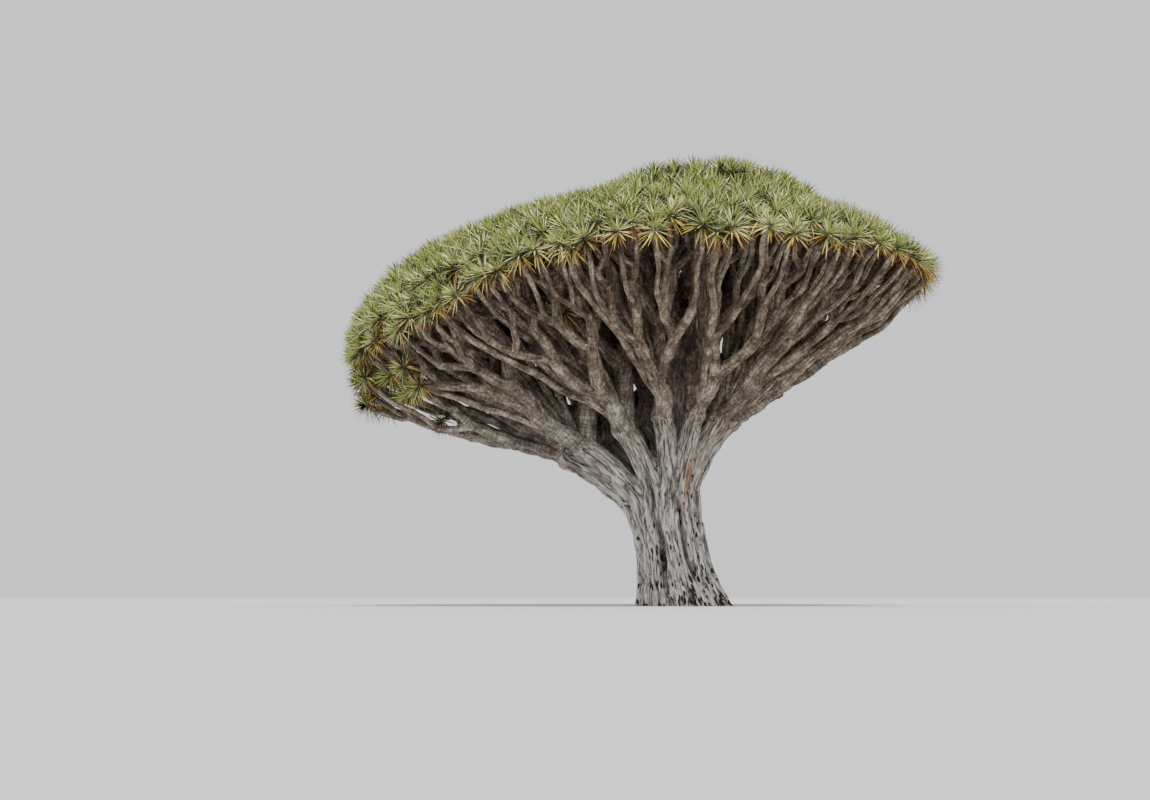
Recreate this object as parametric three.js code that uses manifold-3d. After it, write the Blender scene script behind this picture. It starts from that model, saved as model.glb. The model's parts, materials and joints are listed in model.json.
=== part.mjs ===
// A mature dragon tree: a stout fluted trunk, fourteen boughs and an umbrella crown of foliage masses, made
// of sword-leaved rosettes. Millimetres, +Z up. The origin is the middle of the flat cut at ground level.
// -Y is the front, and the crown leans out further to the left, towards -X.

import * as THREE from "three";
import { mergeVertices } from "three/addons/utils/BufferGeometryUtils.js";
import Module from "manifold-3d";

const wasm = await Module();
wasm.setup();

// The surface of the crown, on which the hearts of the rosettes lie
const AXIS_X = -300;
const HALF_WIDTH = 7480;
const WIDTH_LEAN = 760;
const HALF_DEPTH = 6400;
const RIM_Z = 7500;
const RIM_TILT = 1000;
const RIM_TURN = { at: -0.55, steep: 3.1 };
const HANG = 900;
const HANG_LEFT = 4200;
const HANG_POWER = 6;
const TOP_Z = 10500;
const TOP_TILT = 300;
const SHOULDER = 0.8;
const SHOULDER_TILT = 0.25;
const DOME = { x: 900, y: -600, radius: 2600, rise: 650 };

// Where the surface is divided: u runs from 0 at the top to 1 at the rim and beyond it underneath
const CENTRE_U = 0.25;
const INNER_U = 0.62;
const END_U = 1.03;
const END_U_LEFT = 0.2;
const AIM_U = 0.72;
const AIM_U_LEFT = 0.24;
const AIM_POWER = 2;
const CELLS = ["inner", "outer"];
const LEFT_U = [0.52, 0.74, 0.9];
const LEFT_CELLS = ["inner", "middle", "outer", "outer_low"];
const SECTORS = [
  { name: "left", azimuth: 180 },
  { name: "left_front", azimuth: 213 },
  { name: "front_left", azimuth: 240 },
  { name: "front", azimuth: 266 },
  { name: "front_right", azimuth: 292 },
  { name: "right_front", azimuth: 320 },
  { name: "right", azimuth: 350 },
  { name: "right_back", azimuth: 386 },
  { name: "back_right", azimuth: 416 },
  { name: "back", azimuth: 442 },
  { name: "back_left", azimuth: 465 },
  { name: "left_back", azimuth: 493 },
  { name: "left_side", azimuth: 518 },
];
const CENTRE_PARTS = 3;
const AIM_SPREAD = 0.3;
const CUT_SPREAD = 0.12;

// Every way runs from the foot of the fork (t = 0) to the surface of the crown (t = 1)
const FOOT = { out: 300, z: 1900 };
const BEND = { out: 1390, lean: 630, z: 3800, rise: 0.54 };
const TURN = { out: 0.72, drop: 1480, level: 0.4 };
const LOW_TIP_Z = 5600;
const FULL_REACH = 7500;
const EASE = 0.55;
const STUB_T = 0.05;
const BOUGH_T = 0.32;
const STEM_T = 0.445;
const BRANCH_T = 0.48;
const BRANCH_STEP = 0.29;
const OVERLAP_T = 0.03;
const FORK_STEP = 0.005;
const FORK_CLEARANCE = 90;

// The thickness of a limb follows from the number of rosettes that it feeds
const TWIG_RADIUS = 64.5;
const PIPE_POWER = 0.365;
const TAPER = 0.16;
const ROSETTE_AREA = 0.37e6;
const UNDER = { u: 1.02, density: 0.4 };
const HEAD_AREA = 3.65e6;

// Trunk: the middle and the radius of its outline at each height
const TRUNK = [
  { z: 0, x: 10, radius: 1230 },
  { z: 420, x: -110, radius: 1060 },
  { z: 1340, x: -240, radius: 960 },
  { z: 2270, x: -420, radius: 930 },
  { z: 2900, x: -500, radius: 960 },
  { z: 3500, x: -400, radius: 880 },
  { z: 4200, x: -320, radius: 420 },
];
const TRUNK_SIDES = 20;
const FLUTES = { count: 5, depth: 0.05, twist: 0.0007 };
const ROOTS = { count: 7, depth: 0.1, height: 520 };

// Heads of foliage: a low core that follows the crown, and blades that stand out of it
const CORE = { fill: 0.9, sink: 90, crown: 130, belly: 330, sides: 6 };
const BLADE = { length: 760, width: 270, thickness: 0.4, sink: 90, lean: 0.85, ring: 0.5 };
const BLADES = 4;

const GAP = 0.3;
const BOUGH_SIDES = 7;
const LIMB_SIDES = 6;
const TWIG_SIDES = 3;
const DEGREE = Math.PI / 180;

const trunkBark = () => new THREE.MeshStandardMaterial({ color: 0x88847f, roughness: 0.92, metalness: 0 });
const limbBark = () => new THREE.MeshStandardMaterial({ color: 0x726b62, roughness: 0.92, metalness: 0 });
const foliage = () => new THREE.MeshStandardMaterial({ color: 0x8f9066, roughness: 0.7, metalness: 0 });

// A repeatable number from 0 to 1 for each growing point and purpose
function chance(id, purpose) {
  const value = Math.sin(id * 12.9898 + purpose * 78.233) * 43758.5453;
  return value - Math.floor(value);
}

function crownPoint(u, azimuth) {
  const across = Math.cos(azimuth);
  const spread = Math.sin((u * Math.PI) / 2);
  const rise = Math.cos((u * Math.PI) / 2);
  const x = AXIS_X + (HALF_WIDTH - WIDTH_LEAN * across) * across * spread;
  const y = HALF_DEPTH * Math.sin(azimuth) * spread;
  const rim = RIM_Z + RIM_TILT * Math.tanh(RIM_TURN.steep * (across - RIM_TURN.at));
  if (rise < 0) {
    const hang = HANG + HANG_LEFT * Math.max(0, -across) ** HANG_POWER;
    return new THREE.Vector3(x, y, rim + hang * rise);
  }
  const fromDome = Math.hypot(x - DOME.x, y - DOME.y) / DOME.radius;
  const tilt = TOP_TILT * Math.max(0, across) * Math.min(1, 2 * spread);
  const top = TOP_Z + tilt + DOME.rise * Math.exp(-(fromDome ** 6));
  const power = 2 * (SHOULDER + SHOULDER_TILT * across);
  return new THREE.Vector3(x, y, rim + (top - rim) * rise ** power);
}

function crownNormal(u, azimuth) {
  const step = 0.02;
  const safe = Math.max(u, 0.05);
  const down = crownPoint(safe + step, azimuth).sub(crownPoint(safe - step, azimuth));
  const round = crownPoint(safe, azimuth + step).sub(crownPoint(safe, azimuth - step));
  return down.cross(round).normalize();
}

// The way of a limb from the foot of the fork to a target on the crown
function cubic(t, a, b, c, d) {
  const s = 1 - t;
  return s * s * s * a + 3 * s * s * t * b + 3 * s * t * t * c + t * t * t * d;
}

function way(target, t) {
  const east = target.x - AXIS_X;
  const reach = Math.hypot(east, target.y);
  const across = Math.cos(Math.atan2(target.y / HALF_DEPTH, east / HALF_WIDTH));
  const part = reach / FULL_REACH;
  const height = target.z - LOW_TIP_Z;
  const r = cubic(t, FOOT.out * part, (BEND.out - BEND.lean * across) * part, TURN.out * reach, reach);
  const turnZ = target.z - TURN.drop - TURN.level * height;
  const z = cubic(t, FOOT.z, BEND.z + BEND.rise * height, turnZ, target.z);
  return new THREE.Vector3(AXIS_X + (east / reach) * r, (target.y / reach) * r, z);
}

function partOf(limb, t) {
  return Math.min(1, Math.max(0, (t - limb.start) / (limb.end - limb.start)));
}

// A limb leaves the way to one target at its start and has joined the way to the next one at its end
function limbPoint(limb, t) {
  const part = partOf(limb, t);
  return way(limb.from, t).lerp(way(limb.to, t), part * (1 + EASE - EASE * part));
}

function limbRadius(limb, t) {
  return limb.radius * (1 + TAPER * (1 - partOf(limb, t)));
}

function limbFrame(limb, t) {
  const step = 0.004;
  const along = limbPoint(limb, t + step).sub(limbPoint(limb, t - step)).normalize();
  const east = limb.to.x - AXIS_X;
  const side = new THREE.Vector3(-limb.to.y, east, 0).normalize();
  side.addScaledVector(along, -side.dot(along)).normalize();
  const over = new THREE.Vector3().crossVectors(side, along);
  return { centre: limbPoint(limb, t), along, side, over };
}

const thickness = (rosettes) => TWIG_RADIUS * rosettes ** PIPE_POWER;

// A cell is a patch of the crown's surface. It is halved across its longer side until it is small enough,
// which is sooner underneath, where the rosettes stand further apart.
function cellSize(cell) {
  const u = (cell.u0 + cell.u1) / 2;
  const azimuth = (cell.a0 + cell.a1) / 2;
  const middle = crownPoint(u, azimuth);
  const span = (...corners) => corners.reduce((sum, corner) => sum + corner.distanceTo(middle), 0);
  const deep = span(crownPoint(cell.u0, azimuth), crownPoint(cell.u1, azimuth));
  const wide = span(crownPoint(u, cell.a0), crownPoint(u, cell.a1));
  return { deep, wide, area: deep * wide * (u > UNDER.u ? UNDER.density : 1) };
}

function cellAim(cell, id) {
  const u = (cell.u0 + cell.u1) / 2 + (cell.u1 - cell.u0) * AIM_SPREAD * (chance(id, 1) - 0.5);
  const azimuth = (cell.a0 + cell.a1) / 2 + (cell.a1 - cell.a0) * AIM_SPREAD * (chance(id, 2) - 0.5);
  return crownPoint(u, azimuth);
}

function halves(cell, id) {
  const { deep, wide } = cellSize(cell);
  const share = 0.5 + CUT_SPREAD * (chance(id, 3) - 0.5);
  if (deep > wide) {
    const u = cell.u0 + (cell.u1 - cell.u0) * share;
    return [{ ...cell, u1: u }, { ...cell, u0: u }];
  }
  const azimuth = cell.a0 + (cell.a1 - cell.a0) * share;
  return [{ ...cell, a1: azimuth }, { ...cell, a0: azimuth }];
}

function rosettesIn(cell, id) {
  if (cellSize(cell).area < ROSETTE_AREA) {
    return 1;
  }
  const [first, second] = halves(cell, id);
  return rosettesIn(first, 2 * id + 1) + rosettesIn(second, 2 * id + 2);
}

// Solids from three.js geometry: corners merged, and faces that close up on an axis left out
function bare(geometry) {
  geometry.deleteAttribute("normal");
  geometry.deleteAttribute("uv");
  const merged = mergeVertices(geometry);
  const corners = merged.index.array;
  const kept = [];
  for (let i = 0; i < corners.length; i += 3) {
    const [a, b, c] = corners.subarray(i, i + 3);
    if (a !== b && b !== c && c !== a) {
      kept.push(a, b, c);
    }
  }
  merged.setIndex(kept);
  return merged;
}

function solid(geometry) {
  const vertProperties = new Float32Array(geometry.attributes.position.array);
  const triVerts = new Uint32Array(geometry.index.array);
  return new wasm.Manifold(new wasm.Mesh({ numProp: 3, vertProperties, triVerts }));
}

function moved(geometry, place) {
  const positions = geometry.attributes.position;
  for (let i = 0; i < positions.count; i++) {
    const point = place(positions.getX(i), positions.getY(i), positions.getZ(i));
    positions.setXYZ(i, point.x, point.y, point.z);
  }
  return geometry;
}

// A stretch of a limb: a lathed column of one unit radius, bent along the limb's way
function stretch(limb, from, to, sides, rings, gap = 0) {
  const profile = [new THREE.Vector2(0, 0)];
  for (let ring = 0; ring <= rings; ring++) {
    profile.push(new THREE.Vector2(1, ring));
  }
  profile.push(new THREE.Vector2(0, rings));
  const column = bare(new THREE.LatheGeometry(profile, sides));
  return solid(
    moved(column, (x, y, z) => {
      const t = from + ((to - from) * y) / rings;
      const { centre, along, side, over } = limbFrame(limb, t);
      const radius = limbRadius(limb, t);
      centre.addScaledVector(side, x * radius).addScaledVector(over, z * radius);
      return y === 0 ? centre.addScaledVector(along, gap) : centre;
    }),
  );
}

// The first place past a fork where its limbs have drawn clear of each other
function forkEnd(limbs, start) {
  for (let t = start + OVERLAP_T; t < 1; t += FORK_STEP) {
    const clear = limbs.every((limb, i) =>
      limbs.slice(i + 1).every((other) => {
        const reach = limbRadius(limb, t) + limbRadius(other, t) + FORK_CLEARANCE;
        return limbPoint(limb, t).distanceTo(limbPoint(other, t)) > reach;
      }),
    );
    if (clear) {
      return t;
    }
  }
  return 1;
}

function fuse(solids) {
  return solids.reduce((whole, piece) => whole.add(piece));
}

// The trunk's column: leaning, fluted, with lobes where the roots flare out
function trunkColumn() {
  const course = new THREE.CatmullRomCurve3(TRUNK.map((at) => new THREE.Vector3(at.x, at.radius, at.z)));
  const rings = TRUNK.length + 2;
  const profile = [new THREE.Vector2(0, 0)];
  for (let ring = 0; ring <= rings; ring++) {
    profile.push(new THREE.Vector2(1, ring));
  }
  profile.push(new THREE.Vector2(0, rings));
  const column = bare(new THREE.LatheGeometry(profile, TRUNK_SIDES));
  return solid(
    moved(column, (x, y, z) => {
      const at = course.getPoint(y / rings);
      const height = Math.max(0, at.z);
      const angle = Math.atan2(x, z);
      const flute = FLUTES.depth * Math.sin(FLUTES.count * angle + FLUTES.twist * height);
      const root = ROOTS.depth * Math.cos(ROOTS.count * angle + 1) * Math.exp(-height / ROOTS.height);
      const radius = Math.hypot(x, z) * at.y * (1 + flute + root);
      return new THREE.Vector3(at.x + radius * Math.cos(angle), radius * Math.sin(angle), height);
    }),
  );
}

// The plan of the whole tree: each bough with its children, and each child with its cell of the crown
function planBough(name, aim, cells, forkT) {
  const children = cells.map(({ suffix, cell, id }) => {
    const rosettes = rosettesIn(cell, id);
    const to = cellAim(cell, id);
    const radius = thickness(rosettes);
    const limb = { from: aim, to, start: forkT, end: BRANCH_T, radius };
    return { name: `${name}_${suffix}`, cell, id, rosettes, ...limb };
  });
  const rosettes = children.reduce((sum, child) => sum + child.rosettes, 0);
  const limb = { from: aim, to: aim, start: 0, end: forkT, radius: thickness(rosettes) };
  return { name, limb, children, forkT, clearT: forkEnd(children, forkT) };
}

function planTree() {
  const boughs = SECTORS.map((sector, i) => {
    const before = SECTORS[(i + SECTORS.length - 1) % SECTORS.length].azimuth - (i === 0 ? 360 : 0);
    const after = SECTORS[(i + 1) % SECTORS.length].azimuth + (i === SECTORS.length - 1 ? 360 : 0);
    const a0 = ((before + sector.azimuth) / 2) * DEGREE;
    const a1 = ((sector.azimuth + after) / 2) * DEGREE;
    const middle = (a0 + a1) / 2;
    const left = Math.max(0, -Math.cos(middle));
    const end = END_U + END_U_LEFT * left ** HANG_POWER;
    const low = sector.name === "left";
    const edges = low ? [CENTRE_U, ...LEFT_U, end] : [CENTRE_U, INNER_U, end];
    const cells = (low ? LEFT_CELLS : CELLS).map((suffix, k) => ({
      suffix,
      cell: { u0: edges[k], u1: edges[k + 1], a0, a1 },
      id: 30 + 3 * i + k,
    }));
    const aim = crownPoint(AIM_U + AIM_U_LEFT * left ** AIM_POWER, middle);
    return planBough(sector.name, aim, cells, BOUGH_T);
  });
  const cells = Array.from({ length: CENTRE_PARTS }, (_, k) => {
    const width = (2 * Math.PI) / CENTRE_PARTS;
    const cell = { u0: 0, u1: CENTRE_U, a0: k * width, a1: (k + 1) * width };
    return { suffix: `${k + 1}`, cell, id: 100 + k };
  });
  return [...boughs, planBough("centre", crownPoint(0.02, 0), cells, BOUGH_T)];
}

// The twigs of a mass branch by halving its cell, at least once and down to the cells of its heads
function branch(cell, id, from, start, twigs, heads) {
  halves(cell, id).forEach((part, k) => {
    const partId = 2 * id + 1 + k;
    const to = cellAim(part, partId);
    const end = start + (1 - start) * BRANCH_STEP;
    const last = cellSize(part).area < HEAD_AREA;
    twigs.push({ from, to, start, end, stop: last ? 1 : end, radius: thickness(rosettesIn(part, partId)) });
    if (last) {
      heads.push({ cell: part, id: partId, middle: inCell(part, 0, 0, 0) });
    } else {
      branch(part, partId, to, end, twigs, heads);
    }
  });
}

// A point over or under the crown's surface, placed within a cell that spans -1 to 1 both ways
function inCell(cell, right, down, height) {
  const u = (cell.u0 + cell.u1) / 2 + ((cell.u1 - cell.u0) / 2) * down;
  const azimuth = (cell.a0 + cell.a1) / 2 + ((cell.a1 - cell.a0) / 2) * right;
  return crownPoint(u, azimuth).addScaledVector(crownNormal(u, azimuth), height);
}

function coreRim(cell, right, down) {
  const round = CORE.fill / (right ** 4 + down ** 4) ** 0.25;
  return inCell(cell, right * round, down * round, -CORE.sink);
}

// A head's core: a low double cone, spread over the head's cell with the crown's own curve
function headCore(cell) {
  const profile = [new THREE.Vector2(0, -1), new THREE.Vector2(1, 0), new THREE.Vector2(0, 1)];
  const cone = bare(new THREE.LatheGeometry(profile, CORE.sides));
  return solid(
    moved(cone, (x, y, z) => {
      const height = y > 0 ? CORE.crown : -CORE.belly;
      return y === 0 ? coreRim(cell, x, z) : inCell(cell, 0, 0, height);
    }),
  );
}

function blade(cell, id, k) {
  const turn = ((k + 0.8 * chance(id, 10 + k)) / BLADES) * 2 * Math.PI;
  const top = inCell(cell, 0, 0, CORE.crown);
  const rim = coreRim(cell, Math.cos(turn), Math.sin(turn));
  const outwards = rim.clone().sub(top).normalize();
  const normal = inCell(cell, 0, 0, 1).sub(inCell(cell, 0, 0, 0)).normalize();
  const lean = BLADE.lean * (0.6 + 0.8 * chance(id, 30 + k));
  const direction = normal.clone().addScaledVector(outwards, lean).normalize();
  const length = BLADE.length * (0.85 + 0.3 * chance(id, 50 + k));
  const cone = bare(new THREE.ConeGeometry(BLADE.width / 2, length, 3));
  cone.scale(1, 1, BLADE.thickness);
  cone.translate(0, length / 2, 0);
  const flat = normal.clone().addScaledVector(direction, -normal.dot(direction)).normalize();
  const width = new THREE.Vector3().crossVectors(direction, flat);
  cone.applyMatrix4(new THREE.Matrix4().makeBasis(width, direction, flat));
  const root = top.lerp(rim, BLADE.ring).addScaledVector(normal, -BLADE.sink);
  cone.translate(root.x, root.y, root.z);
  return { body: solid(cone), tip: root.clone().addScaledVector(direction, length) };
}

const touches = (body, others) => others.some((other) => body.intersect(other).volume() > 0);

function nearestMass(point, masses) {
  let best = null;
  let least = Infinity;
  for (const mass of masses) {
    for (const head of mass.heads) {
      const distance = point.distanceTo(head.middle);
      if (distance < least) {
        least = distance;
        best = mass;
      }
    }
  }
  return best;
}

const tree = new THREE.Group();
const taken = [];

function addNode(name, body, material) {
  const { vertProperties, triVerts } = body.getMesh();
  const geometry = new THREE.BufferGeometry();
  geometry.setAttribute("position", new THREE.BufferAttribute(vertProperties, 3));
  geometry.setIndex(new THREE.BufferAttribute(triVerts, 1));
  const mesh = new THREE.Mesh(geometry, material);
  mesh.name = name;
  tree.add(mesh);
  taken.push(body);
}

const boughs = planTree();

// Trunk, up to where the boughs have drawn clear of each other
const trunkTop = forkEnd(boughs.map((bough) => bough.limb), STUB_T);
const stubs = boughs.map((bough) => stretch(bough.limb, STUB_T, trunkTop, BOUGH_SIDES, 3));
addNode("trunk", fuse([trunkColumn(), ...stubs]), trunkBark());

// Boughs: each one tapers from the trunk to its fork, and holds the first stretch of the limbs past it
for (const bough of boughs) {
  const main = stretch(bough.limb, trunkTop, bough.forkT, BOUGH_SIDES, 3, GAP);
  const arms = bough.children.map((child) =>
    stretch(child, bough.forkT - OVERLAP_T, bough.clearT, LIMB_SIDES, 2),
  );
  addNode(`bough_${bough.name}`, fuse([main, ...arms]), limbBark());
}

// Limbs that carry the outer masses
const masses = [];
for (const bough of boughs) {
  for (const child of bough.children) {
    const outer = child.name.includes("outer");
    if (outer) {
      const body = stretch(child, bough.clearT, STEM_T, LIMB_SIDES, 3, GAP);
      addNode(`limb_${child.name}`, body, limbBark());
    }
    const twigs = [];
    const heads = [];
    branch(child.cell, child.id, child.to, BRANCH_T, twigs, heads);
    masses.push({ child, stemT: outer ? STEM_T : bough.clearT, twigs, heads });
  }
}

// Masses of foliage: a stem, its twigs, and the heads that they carry
for (const mass of masses) {
  const stem = stretch(mass.child, mass.stemT, BRANCH_T, LIMB_SIDES, 1, GAP);
  const parts = [stem];
  for (const twig of mass.twigs) {
    parts.push(stretch(twig, twig.start - OVERLAP_T, twig.stop, TWIG_SIDES, twig.stop === 1 ? 3 : 2));
  }
  for (const { cell, id } of mass.heads) {
    parts.push(headCore(cell));
    for (let k = 0; k < BLADES; k++) {
      const { body, tip } = blade(cell, id, k);
      if (nearestMass(tip, masses) === mass && !touches(body, taken)) {
        parts.push(body);
      }
    }
  }
  addNode(`crown_${mass.child.name}`, fuse(parts), foliage());
}

export default tree;
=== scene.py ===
# A mature dragon tree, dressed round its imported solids. Metres, +Z up, with the front towards -Y.
# The parts follow the way the tree grows: trunk and boughs, limbs, twigs and then the rosettes of leaves.
import json
import math

import bpy
import numpy as np
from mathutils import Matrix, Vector, noise

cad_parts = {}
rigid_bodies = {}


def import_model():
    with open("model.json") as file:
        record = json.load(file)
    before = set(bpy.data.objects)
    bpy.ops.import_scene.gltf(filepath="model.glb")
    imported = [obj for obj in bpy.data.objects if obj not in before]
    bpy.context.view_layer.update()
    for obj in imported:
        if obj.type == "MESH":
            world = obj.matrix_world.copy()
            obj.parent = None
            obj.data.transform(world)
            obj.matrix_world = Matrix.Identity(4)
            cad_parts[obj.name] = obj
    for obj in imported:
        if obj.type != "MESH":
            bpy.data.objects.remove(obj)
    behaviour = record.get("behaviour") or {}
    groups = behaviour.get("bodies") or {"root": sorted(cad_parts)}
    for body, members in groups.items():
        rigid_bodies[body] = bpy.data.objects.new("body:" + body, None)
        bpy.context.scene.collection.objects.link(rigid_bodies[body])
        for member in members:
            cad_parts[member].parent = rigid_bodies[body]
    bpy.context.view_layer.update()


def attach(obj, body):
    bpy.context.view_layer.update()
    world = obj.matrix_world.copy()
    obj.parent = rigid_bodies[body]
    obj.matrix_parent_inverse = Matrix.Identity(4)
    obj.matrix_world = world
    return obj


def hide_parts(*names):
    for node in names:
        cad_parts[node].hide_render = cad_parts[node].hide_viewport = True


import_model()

# Trunk and boughs: living wood under thick grey bark, which cracks lengthwise as the wood swells. The
# boughs leave the trunk as a ring, and each one runs on down it as a rib, so that the trunk looks like a
# bundle of columns grown together. Here they are one skin, made by a voxel remesh.

# The surface on which the hearts of the rosettes lie, as in the solids: its spread, its rim, which is lower
# on the left, how far its underside hangs, and its top with the dome
AXIS_X = -0.3
HALF_WIDTH = 7.48
WIDTH_LEAN = 0.76
HALF_DEPTH = 6.4
RIM_Z = 7.5
RIM_TILT = 1.0
RIM_TURN_AT = -0.55
RIM_TURN_STEEP = 3.1
HANG = 0.9
HANG_LEFT = 4.2
HANG_POWER = 6
TOP_Z = 10.5
TOP_TILT = 0.3
TILT_FULL_AT = 0.5
SHOULDER = 0.8
SHOULDER_TILT = 0.25
DOME = Vector((0.9, -0.6))
DOME_RADIUS = 2.6
DOME_RISE = 0.65
DOME_POWER = 6
NORMAL_STEP = 0.02
NORMAL_FROM_U = 0.05

# Its cells: where they end on the way from the top, at 0, past the rim, at 1, the sectors with their azimuths
# in degrees, where each bough aims, and the numbers that the cells' chances start from
CENTRE_U = 0.25
INNER_U = 0.62
END_U = 1.03
END_U_LEFT = 0.2
AIM_U = 0.72
AIM_U_LEFT = 0.24
AIM_POWER = 2
AIM_U_CENTRE = 0.02
CELLS = ["inner", "outer"]
LEFT_U = [0.52, 0.74, 0.9]
LEFT_CELLS = ["inner", "middle", "outer", "outer_low"]
SECTORS = [
    ("left", 180), ("left_front", 213), ("front_left", 240), ("front", 266),
    ("front_right", 292), ("right_front", 320), ("right", 350), ("right_back", 386),
    ("back_right", 416), ("back", 442), ("back_left", 465), ("left_back", 493),
    ("left_side", 518),
]
CENTRE_PARTS = 3
FIRST_NUMBER = 30
NUMBERS_EACH = 3
CENTRE_NUMBER = 100
AIM_SPREAD = 0.3
CUT_SPREAD = 0.12
ROSETTE_AREA = 0.37
UNDER_U = 1.02
UNDER_DENSITY = 0.4

# The way of a limb: out of its foot inside the trunk, round a bend above it and up a turn before its tip. It
# forks at set shares of its way, and its thickness follows from the number of rosettes that it feeds.
FOOT_OUT = 0.3
FOOT_Z = 1.9
BEND_OUT = 1.39
BEND_LEAN = 0.63
BEND_Z = 3.8
BEND_RISE = 0.54
TURN_OUT = 0.72
TURN_DROP = 1.48
TURN_LEVEL = 0.4
LOW_TIP_Z = 5.6
FULL_REACH = 7.5
EASE = 0.55
BOUGH_T = 0.32
BRANCH_T = 0.48
BRANCH_STEP = 0.29
TWIG_RADIUS = 0.0645
PIPE_POWER = 0.365
TAPER = 0.16

# Real limbs sway a little off their way, from where they leave the trunk. The noise starts from a set seed,
# so that they sway alike in every run.
SWAY_SEED = 3
SWAY = 0.13
SWAY_SPAN = 0.95
SWAY_FROM = 3.2
SWAY_FULL = 5.0
noise.seed_set(SWAY_SEED)

# What a chance is drawn for: each purpose has its own number
AIM_ALONG = 1
AIM_AROUND = 2
CUT_AT = 3
HEART_AT = 5
RIB_TURN = 7
SIDE_SHOOT = 3438


def chance(number, purpose):
    """A share from 0 to 1 that is always the same for the same number and purpose."""
    value = math.sin(number * 12.9898 + purpose * 78.233) * 43758.5453
    return value - math.floor(value)


def crown_point(u, azimuth):
    """A point of the crown's surface: u is 0 at the top, 1 at the rim and more on the underside."""
    across = math.cos(azimuth)
    spread = math.sin(u * math.pi / 2)
    rise = math.cos(u * math.pi / 2)
    x = AXIS_X + (HALF_WIDTH - WIDTH_LEAN * across) * across * spread
    y = HALF_DEPTH * math.sin(azimuth) * spread
    rim = RIM_Z + RIM_TILT * math.tanh(RIM_TURN_STEEP * (across - RIM_TURN_AT))
    if rise < 0:
        return Vector((x, y, rim + (HANG + HANG_LEFT * max(0, -across) ** HANG_POWER) * rise))
    from_dome = (Vector((x, y)) - DOME).length / DOME_RADIUS
    tilt = TOP_TILT * max(0, across) * min(1, spread / TILT_FULL_AT)
    top = TOP_Z + tilt + DOME_RISE * math.exp(-(from_dome**DOME_POWER))
    power = 2 * (SHOULDER + SHOULDER_TILT * across)
    return Vector((x, y, rim + (top - rim) * rise**power))


def crown_normal(u, azimuth):
    u = max(u, NORMAL_FROM_U)
    down = crown_point(u + NORMAL_STEP, azimuth) - crown_point(u - NORMAL_STEP, azimuth)
    around = crown_point(u, azimuth + NORMAL_STEP) - crown_point(u, azimuth - NORMAL_STEP)
    return down.cross(around).normalized()


def cubic(t, a, b, c, d):
    """A measure on a curve from a to d that leaves towards b and arrives from c."""
    s = 1 - t
    return s**3 * a + 3 * s * s * t * b + 3 * s * t * t * c + t**3 * d


def way(target, t):
    """The way of a limb from the trunk, at t = 0, to a target on the crown's surface, at t = 1."""
    east = target.x - AXIS_X
    reach = math.hypot(east, target.y)
    across = math.cos(math.atan2(target.y / HALF_DEPTH, east / HALF_WIDTH))
    part = reach / FULL_REACH
    height = target.z - LOW_TIP_Z
    bend_out = (BEND_OUT - BEND_LEAN * across) * part
    r = cubic(t, FOOT_OUT * part, bend_out, TURN_OUT * reach, reach)
    turn_z = target.z - TURN_DROP - TURN_LEVEL * height
    z = cubic(t, FOOT_Z, BEND_Z + BEND_RISE * height, turn_z, target.z)
    return Vector((AXIS_X + east / reach * r, target.y / reach * r, z))


def swayed(point):
    share = min(1, max(0, (point.z - SWAY_FROM) / (SWAY_FULL - SWAY_FROM)))
    return point + noise.noise_vector(point / SWAY_SPAN) * SWAY * share


class Limb:
    """Wood from a fork to the next one or to a rosette, which turns from one target's way to another's."""

    def __init__(self, origin, to, start, end, stop, rosettes):
        self.origin, self.to = origin, to
        self.start, self.end, self.stop = start, end, stop
        self.thick = TWIG_RADIUS * rosettes**PIPE_POWER

    def share(self, t):
        return min(1, max(0, (t - self.start) / (self.end - self.start)))

    def point(self, t):
        part = self.share(t)
        return swayed(way(self.origin, t).lerp(way(self.to, t), part * (1 + EASE - EASE * part)))

    def radius(self, t):
        return self.thick * (1 + TAPER * (1 - self.share(t)))


# A cell is a patch of the crown's surface: (u0, u1, azimuth0, azimuth1). It is halved down to one rosette.
def cell_spans(cell):
    """How deep and how wide a cell is, in metres."""
    u0, u1, a0, a1 = cell
    u, azimuth = (u0 + u1) / 2, (a0 + a1) / 2
    middle = crown_point(u, azimuth)
    deep = sum((crown_point(edge, azimuth) - middle).length for edge in (u0, u1))
    wide = sum((crown_point(u, edge) - middle).length for edge in (a0, a1))
    return deep, wide


def cell_aim(cell, number):
    """Where in a cell its limb aims: somewhere near the middle."""
    u0, u1, a0, a1 = cell
    u = (u0 + u1) / 2 + (u1 - u0) * AIM_SPREAD * (chance(number, AIM_ALONG) - 0.5)
    azimuth = (a0 + a1) / 2 + (a1 - a0) * AIM_SPREAD * (chance(number, AIM_AROUND) - 0.5)
    return u, azimuth


def halves(cell, number):
    """A cell cut across its longer span, a little off the middle."""
    u0, u1, a0, a1 = cell
    deep, wide = cell_spans(cell)
    share = 0.5 + CUT_SPREAD * (chance(number, CUT_AT) - 0.5)
    if deep > wide:
        u = u0 + (u1 - u0) * share
        return [(u0, u, a0, a1), (u, u1, a0, a1)]
    azimuth = a0 + (a1 - a0) * share
    return [(u0, u1, a0, azimuth), (u0, u1, azimuth, a1)]


def is_rosette(cell):
    """Whether a cell is small enough for one rosette. On the underside they are further apart."""
    deep, wide = cell_spans(cell)
    density = UNDER_DENSITY if (cell[0] + cell[1]) / 2 > UNDER_U else 1
    return deep * wide * density < ROSETTE_AREA


def rosettes_in(cell, number):
    if is_rosette(cell):
        return 1
    first, second = halves(cell, number)
    return rosettes_in(first, 2 * number + 1) + rosettes_in(second, 2 * number + 2)


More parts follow.
